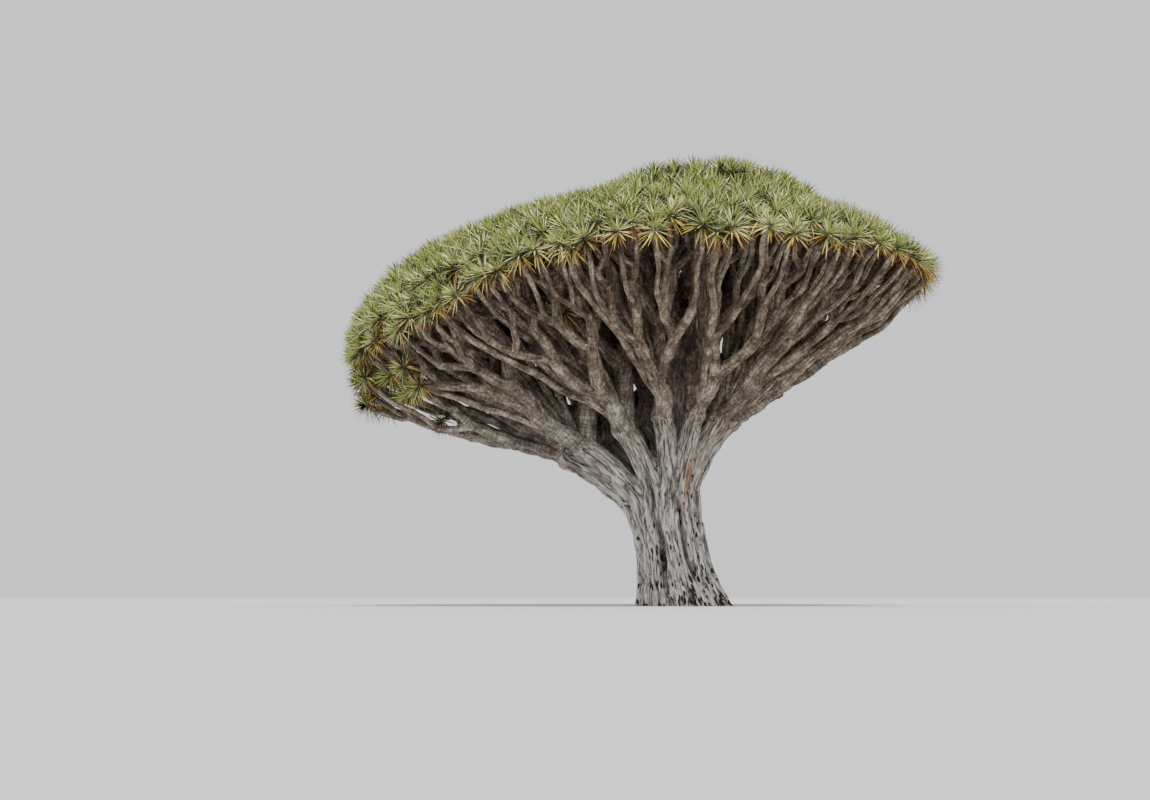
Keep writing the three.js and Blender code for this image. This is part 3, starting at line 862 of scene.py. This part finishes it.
def wood_tubes(name, limbs):
    """One mesh of closed tubes, a tube for each limb, with its grain as an attribute."""
    all_places, all_grains, all_walls, all_caps = [], [], [], []
    first = 0
    for number, limb in enumerate(limbs):
        points, radii = limb_course(limb)
        sides = next((sides for thick, sides in TUBE_SIDES if limb.thick < thick), TUBE_SIDES_THICK)
        middle = np.array([tuple(point) for point in points])
        radii = np.array(radii)[:, None]
        along = np.gradient(middle, axis=0)
        along /= np.linalg.norm(along, axis=1, keepdims=True)
        side = np.cross(along, NO_GRAIN_WAY)
        side /= np.linalg.norm(side, axis=1, keepdims=True)
        over = np.cross(along, side)
        run = np.concatenate([[0], np.cumsum(np.linalg.norm(np.diff(middle, axis=0), axis=1))])
        angles = np.arange(sides) * 2 * math.pi / sides
        right = np.cos(angles)[None, :, None] * radii[:, None, :]
        up = np.sin(angles)[None, :, None] * radii[:, None, :]
        rings = middle[:, None, :] + side[:, None, :] * right + over[:, None, :] * up
        runs = np.broadcast_to(run[:, None, None] + TUBE_PHASE * number, right.shape)
        grains = np.concatenate([right, up, runs], axis=2)
        count = len(points)
        a = np.arange(count - 1)[:, None] * sides + np.arange(sides)[None, :]
        b = np.arange(count - 1)[:, None] * sides + (np.arange(sides)[None, :] + 1) % sides
        walls = np.stack([a, b, b + sides, a + sides], axis=2).reshape(-1, 4)
        start_pole, end_pole = count * sides, count * sides + 1
        ring = np.arange(sides)
        last = (count - 1) * sides
        cap = np.stack([(ring + 1) % sides, ring, np.full(sides, start_pole)], axis=1)
        tip = np.stack([last + ring, last + (ring + 1) % sides, np.full(sides, end_pole)], axis=1)
        ends = np.stack([middle[0], middle[-1] + along[-1] * radii[-1] * TUBE_END])
        end_grains = np.array([[0, 0, TUBE_PHASE * number], [0, 0, run[-1] + TUBE_PHASE * number]])
        all_places.append(np.vstack([rings.reshape(-1, 3), ends]))
        all_grains.append(np.vstack([grains.reshape(-1, 3), end_grains]))
        all_walls.append(walls + first)
        all_caps.append(np.vstack([cap, tip]) + first)
        first += count * sides + 2
    places, grain = np.vstack(all_places), np.vstack(all_grains)
    lumps = noise_at(grain, WOOD_LUMP_SPAN, WOOD_LUMP_SPAN)
    thickness = np.linalg.norm(grain[:, :2], axis=1)
    rings = np.sin(2 * math.pi * (grain[:, 2] / RING_SPAN + RING_WANDER * lumps))
    push = thickness * (WOOD_LUMP * lumps + RING_DEPTH * rings)
    mesh = made_mesh(name, places, np.vstack(all_walls), np.vstack(all_caps))
    store(mesh, "grain", grain)
    normals = read_vectors(mesh, "normal")
    places = places + normals * push[:, None]
    mesh.vertices.foreach_set("co", places.astype(np.float32).ravel())
    mesh.shade_smooth()
    mesh.update()
    return mesh


# Ringed bark of the limbs: rough and brown without shine, with pale patches and thin dark rings of leaf
# scars. It is greyer and lighter near the trunk and browner and darker higher up, partly the bark's own tone
# and partly painted shade under the crown. The sizes are in millimetres again. Real rings are 10 to 20 mm
# apart, too fine to show, so fewer are drawn. A wave texture of scale 1 has a band every 2 pi / 20 m.
LIMB_PLATES = (56, 253)
LIMB_PATCHES = 417
LIMB_PATCH_SHARE = 0.42
LIMB_BUMP = 40
SCAR_RINGS = 121
WAVE_BAND = 2 * math.pi / 20
GREY_AND_LESS_SHADED_HEIGHTS = (6.0, 4.2)
GREY_SHARE = 0.85
LIMB_ROUGHNESS = 0.9
LIMB_SPECULAR = 0.25


def ringed_bark():
    material = bpy.data.materials.new("ringed_limb_bark")
    material.use_nodes = True
    tree = material.node_tree
    shader = tree.nodes["Principled BSDF"]
    grain = add_node(tree, "ShaderNodeAttribute", attribute_name="grain").outputs["Vector"]
    place = add_node(tree, "ShaderNodeTexCoord").outputs["Object"]
    plates_at = add_node(tree, "ShaderNodeMapping", {"Vector": grain, "Scale": pattern_scale(*LIMB_PLATES)})
    plates = add_node(
        tree, "ShaderNodeTexNoise",
        {"Vector": plates_at.outputs[0], "Scale": 1, "Detail": 6, "Roughness": 0.7},
    )
    patches = add_node(
        tree, "ShaderNodeTexNoise",
        {"Vector": place, "Scale": 1000 / LIMB_PATCHES, "Detail": 4, "Roughness": 0.6},
    )
    tone = add_node(
        tree, "ShaderNodeMix",
        {0: LIMB_PATCH_SHARE, 2: plates.outputs["Fac"], 3: patches.outputs["Fac"]}, data_type="FLOAT",
    ).outputs[0]
    brown = add_node(
        tree, "ShaderNodeValToRGB", {"Fac": tone},
        stops=[(0.38, "#382f28"), (0.47, "#63574b"), (0.54, "#85796a"), (0.63, "#bdb3a4")],
    )
    grey = add_node(
        tree, "ShaderNodeValToRGB", {"Fac": tone},
        stops=[(0.38, "#4b433c"), (0.47, "#7b7269"), (0.54, "#a0988e"), (0.63, "#cfc9c0")],
    )
    height = add_node(tree, "ShaderNodeSeparateXYZ", {0: place}).outputs["Z"]
    # Greyer and lighter low near the trunk, browner and darker higher up: partly the bark's own tone and
    # partly painted shade under the crown
    near_trunk = add_node(
        tree, "ShaderNodeMapRange",
        {"Value": height, 1: GREY_AND_LESS_SHADED_HEIGHTS[0], 2: GREY_AND_LESS_SHADED_HEIGHTS[1], 3: 0, 4: GREY_SHARE},
    )
    bark = add_node(
        tree, "ShaderNodeMix",
        {0: near_trunk.outputs[0], 6: brown.outputs[0], 7: grey.outputs[0]}, data_type="RGBA",
    )
    waves = add_node(
        tree, "ShaderNodeTexWave",
        {"Vector": grain, "Scale": 1000 * WAVE_BAND / SCAR_RINGS, "Distortion": 7, "Detail": 3},
        bands_direction="Z",
    )
    rings = add_node(
        tree, "ShaderNodeMapRange", {"Value": waves.outputs["Fac"], 1: 0.0, 2: 0.2, 3: 0.3, 4: 0}
    )
    ringed = add_node(
        tree, "ShaderNodeMix",
        {0: rings.outputs[0], 6: bark.outputs[2], 7: linear("#3a322b")}, data_type="RGBA",
    )
    tree.links.new(ringed.outputs[2], shader.inputs["Base Color"])
    relief = add_node(tree, "ShaderNodeMath", {0: tone, 1: rings.outputs[0]}, operation="SUBTRACT")
    bump = add_node(
        tree, "ShaderNodeBump", {"Height": relief.outputs[0], "Distance": LIMB_BUMP / 1000, "Strength": 1}
    )
    tree.links.new(bump.outputs[0], shader.inputs["Normal"])
    shader.inputs["Roughness"].default_value = LIMB_ROUGHNESS
    shader.inputs["Specular IOR Level"].default_value = LIMB_SPECULAR
    return material


limb_material = ringed_bark()
tips = []
for group, names in GROUPS.items():
    limbs, twigs = [], []
    limb_nodes, crown_nodes = [], []
    for bough in boughs:
        if bough["name"] not in names:
            continue
        for child in bough["children"]:
            limbs.append(child["limb"])
            crown_nodes.append(f"crown_{child['name']}")
            if "outer" in child["name"]:
                limb_nodes.append(f"limb_{child['name']}")
            wood, ends = [], []
            grow_twigs(child["cell"], child["number"], child["limb"].to, BRANCH_T, wood, ends)
            u0, u1, azimuth, _ = child["cell"]
            for share in () if group == "centre" else FILLING:
                u = u0 + (u1 - u0) * share
                to = crown_point(u, azimuth)
                limb = Limb(bough["limb"].to, to, BOUGH_T, FILLING_TURNED, FILLING_STOP, FILLING_ROSETTES)
                wood.append(limb)
                ends.append({"limb": limb, "normal": crown_normal(u, azimuth)})
            twigs += wood
            for end in ends:
                end["group"] = group
            tips += ends
    pieces = ((f"limbs_{group}", limbs, limb_nodes), (f"twigs_{group}", twigs, crown_nodes))
    for name, wood, nodes in pieces:
        piece = bpy.data.objects.new(name, wood_tubes(name, wood))
        bpy.context.collection.objects.link(piece)
        piece.data.materials.append(limb_material)
        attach(piece, "root")
        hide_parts(*nodes)

# Rosettes: stiff sword leaves round the end of every twig, the youngest upright and the oldest hanging.
# Each leaf is a keeled blade, about 4 cm wide, and the oldest ones are yellow, orange or brown. Each one
# turns on from the last by the golden angle, as in real rosettes.
LEAVES = 80
LEAVES_SEED = 7
GOLDEN = math.radians(137.508)
FULL_TURN = 6.28
TURN_SPREAD = 0.12
AXIS_AHEAD = 0.55
AXIS_UP = 0.85
TIP_STEP = 0.015
CLOSED = math.radians(5)
OPEN = math.radians(124)
LEAN_SPREAD = 0.06
LEAF_LENGTH = 0.5
LEAF_WIDTH = 0.036
LENGTH_YOUNG = 0.72
LENGTH_GROWTH = 0.36
LENGTH_SPREAD = (0.88, 1.1)
ROSETTE_SPREAD = (0.85, 1.08)
DROOP = 0.02
DROOP_OLD = 0.2
DROOP_FROM = 0.6
STEM_RADIUS = 0.045
STEM_LENGTH = 0.15
STEM_TIP = 0.03
NEVER_ZERO = 1e-4
KEEL = 0.3
BLADE = ((0.0, 0.8), (0.42, 1.0))
# The pale kind is a paler leaf tone with a painted highlight, and the dark kind is painted shade
LEAF_COLOURS = {
    "young": "#9aa55a",
    "pale_painted_highlight": "#d9da9c",
    "green": "#6e7a48",
    "painted_shade": "#222813",
    "yellow": "#d4bd60",
    "orange": "#9f6b40",
    "brown": "#3f261b",
}
random = np.random.default_rng(LEAVES_SEED)
count = len(tips)
ends = [(tip["limb"], tip["limb"].stop) for tip in tips]
hearts = np.array([tuple(limb.point(stop)) for limb, stop in ends])
ahead = [(limb.point(stop) - limb.point(stop - TIP_STEP)).normalized() for limb, stop in ends]
ahead = np.array([tuple(direction) for direction in ahead])
up = np.array([tuple(tip["normal"]) for tip in tips])
axes = AXIS_AHEAD * ahead + AXIS_UP * up
axes /= np.linalg.norm(axes, axis=1, keepdims=True)
groups = np.array([tip["group"] for tip in tips])
side = np.cross(axes, NO_GRAIN_WAY)
side /= np.linalg.norm(side, axis=1, keepdims=True)
over = np.cross(axes, side)

# Each leaf's place in its rosette, from the youngest at 0 to the oldest at 1, gives its lean, turn and length
order = (np.arange(LEAVES)[None, :] + random.random((count, LEAVES))) / LEAVES
cosine = math.cos(CLOSED) + (math.cos(OPEN) - math.cos(CLOSED)) * order
lean = np.arccos(cosine) + random.normal(0, LEAN_SPREAD, order.shape)
turn = np.arange(LEAVES)[None, :] * GOLDEN + random.random((count, 1)) * FULL_TURN
turn = turn + random.normal(0, TURN_SPREAD, order.shape)
out = np.cos(turn)[..., None] * side[:, None, :] + np.sin(turn)[..., None] * over[:, None, :]
ways = np.cos(lean)[..., None] * axes[:, None, :] + np.sin(lean)[..., None] * out
length = LEAF_LENGTH * (LENGTH_YOUNG + LENGTH_GROWTH * np.sqrt(order))
length = length * random.uniform(*LENGTH_SPREAD, order.shape)
length = length * random.uniform(*ROSETTE_SPREAD, (count, 1))
droop = DROOP + DROOP_OLD * smooth_step(order, DROOP_FROM, 1) * np.sin(np.clip(lean, 0, math.pi))
roots = hearts[:, None, :] + axes[:, None, :] * (STEM_TIP - STEM_LENGTH * order[..., None])
roots = roots + out * STEM_RADIUS
width_way = np.cross(ways, axes[:, None, :] + NEVER_ZERO)
width_way /= np.linalg.norm(width_way, axis=2, keepdims=True)
keel_way = np.cross(width_way, ways)

# The points of each leaf: left edge, keel and right edge at two places, and the tip
LEAF_POINTS = 7
rows = []
down = np.array([0, 0, -1.0])
for at, share in BLADE:
    half = 0.5 * LEAF_WIDTH * share
    spine = roots + ways * (length * at)[..., None] + down * (droop * length * at * at)[..., None]
    rows.append(spine - width_way * half + keel_way * half * KEEL)
    rows.append(spine - keel_way * half * KEEL)
    rows.append(spine + width_way * half + keel_way * half * KEEL)
rows.append(roots + ways * length[..., None] + down * (droop * length)[..., None])
leaf_points = np.stack(rows, axis=2).reshape(count * LEAVES, LEAF_POINTS, 3)
leaf_faces = np.array([(0, 1, 4), (0, 4, 3), (1, 2, 5), (1, 5, 4), (3, 4, 6), (4, 5, 6)])

# A leaf's colour follows from its age and from how dry its rosette is. Among the green ones some are pale, a
# paler tone with a painted highlight, and some are painted dark as shade, the more the older they are, since
# older leaves sit lower, in the shade of the younger ones.
YOUNG, PALE_PAINTED_HIGHLIGHT, GREEN, PAINTED_SHADE, YELLOW, ORANGE, BROWN = range(len(LEAF_COLOURS))
AGE_SPREAD = 0.07
ROSETTE_AGE_SPREAD = 0.06
GREEN_AGE = 0.12
YELLOW_AGE = 0.73
ORANGE_AGE = 0.86
BROWN_AGE = 0.94
ROSETTE_TONE_SPREAD = 0.2
PALE_PAINTED_HIGHLIGHT_BELOW = 0.4
PAINTED_SHADE_ABOVE = 0.9
PAINTED_SHADE_OLD = 0.45
age = order + random.normal(0, AGE_SPREAD, order.shape)
age = age + random.uniform(-ROSETTE_AGE_SPREAD, ROSETTE_AGE_SPREAD, (count, 1))
younger = [age < GREEN_AGE, age < YELLOW_AGE, age < ORANGE_AGE, age < BROWN_AGE]
kinds = np.select(younger, [YOUNG, GREEN, YELLOW, ORANGE], BROWN)
mix = random.random(order.shape) + random.uniform(-ROSETTE_TONE_SPREAD, ROSETTE_TONE_SPREAD, (count, 1))
# Pale leaves, dealt out at random: a paler tone with a painted highlight
kinds = np.where((kinds == GREEN) & (mix < PALE_PAINTED_HIGHLIGHT_BELOW), PALE_PAINTED_HIGHLIGHT, kinds)
# Painted shade: green leaves turn to the near-black kind, the more the older and lower they are
kinds = np.where((kinds == GREEN) & (mix > PAINTED_SHADE_ABOVE - PAINTED_SHADE_OLD * order), PAINTED_SHADE, kinds)
kinds = kinds.reshape(-1)
leaf_group = np.repeat(groups, LEAVES)


# Sword leaf: a living one has a thin natural wax, so it is satin and catches the sky. A dried one has lost
# it and is matt.
DRY = ("orange", "brown")
WAXED_ROUGHNESS, WAXED_SPECULAR = 0.5, 0.4
DRY_ROUGHNESS, DRY_SPECULAR = 0.8, 0.2


def leaf_material(name, colour):
    material = bpy.data.materials.new(f"leaf_{name}")
    material.use_nodes = True
    shader = material.node_tree.nodes["Principled BSDF"]
    shader.inputs["Base Color"].default_value = linear(colour)
    shader.inputs["Roughness"].default_value = DRY_ROUGHNESS if name in DRY else WAXED_ROUGHNESS
    shader.inputs["Specular IOR Level"].default_value = DRY_SPECULAR if name in DRY else WAXED_SPECULAR
    return material


NO_QUADS = np.zeros((0, 4), int)
for kind, (name, colour) in enumerate(LEAF_COLOURS.items()):
    material = leaf_material(name, colour)
    for group, names in GROUPS.items():
        chosen = leaf_points[(kinds == kind) & (leaf_group == group)]
        faces = (leaf_faces[None] + LEAF_POINTS * np.arange(len(chosen))[:, None, None]).reshape(-1, 3)
        piece_name = f"leaves_{group}_{name}"
        piece_mesh = made_mesh(piece_name, chosen.reshape(-1, 3), NO_QUADS, faces)
        piece_mesh.shade_flat()
        piece = bpy.data.objects.new(piece_name, piece_mesh)
        bpy.context.collection.objects.link(piece)
        piece.data.materials.append(material)
        crown_nodes = [
            f"crown_{child['name']}"
            for bough in boughs if bough["name"] in names for child in bough["children"]
        ]
        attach(piece, "root")
        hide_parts(*crown_nodes)

# Floor: plain and pale, in matt paint, and wide enough to end near the horizon
FLOOR_SIZE = 400
bpy.ops.object.select_all(action="DESELECT")
bpy.ops.mesh.primitive_plane_add(size=FLOOR_SIZE, location=(0, 0, 0))
floor = bpy.context.object
floor.name = "floor"
floor_material = bpy.data.materials.new("pale_painted_highlight_matt_paint")
floor_material.use_nodes = True
paint = floor_material.node_tree.nodes["Principled BSDF"]
paint.inputs["Base Color"].default_value = linear("#c9c7c3")
paint.inputs["Roughness"].default_value = 0.9
floor.data.materials.append(floor_material)

# Light: a pale overcast sky, and a broad soft lamp high in front
LAMP_FROM = Vector((0.12, -0.65, 1.2))
world = bpy.data.worlds.new("overcast")
world.use_nodes = True
sky = world.node_tree.nodes["Background"]
sky.inputs["Color"].default_value = linear("#f0f1f4")
sky.inputs["Strength"].default_value = 1.1
bpy.context.scene.world = world
lamp = bpy.data.lights.new("soft_sun", "SUN")
lamp.energy = 4.2
lamp.angle = math.radians(16)
lamp_object = bpy.data.objects.new("soft_sun", lamp)
lamp_object.rotation_euler = LAMP_FROM.to_track_quat("Z", "Y").to_euler()
bpy.context.collection.objects.link(lamp_object)

# Camera: from the low ground in front, 42 m away, looking a little up and to the left of the tree
CAMERA_AT = (0, -42, 0.25)
CAMERA_WAY = Vector((-0.0657, 1, 0.1206))
camera_data = bpy.data.cameras.new("camera")
camera_data.lens = 51
camera_data.sensor_width = 36
camera_data.clip_end = 1000
camera = bpy.data.objects.new("camera", camera_data)
camera.location = CAMERA_AT
camera.rotation_euler = CAMERA_WAY.to_track_quat("-Z", "Y").to_euler()
bpy.context.collection.objects.link(camera)
bpy.context.scene.camera = camera
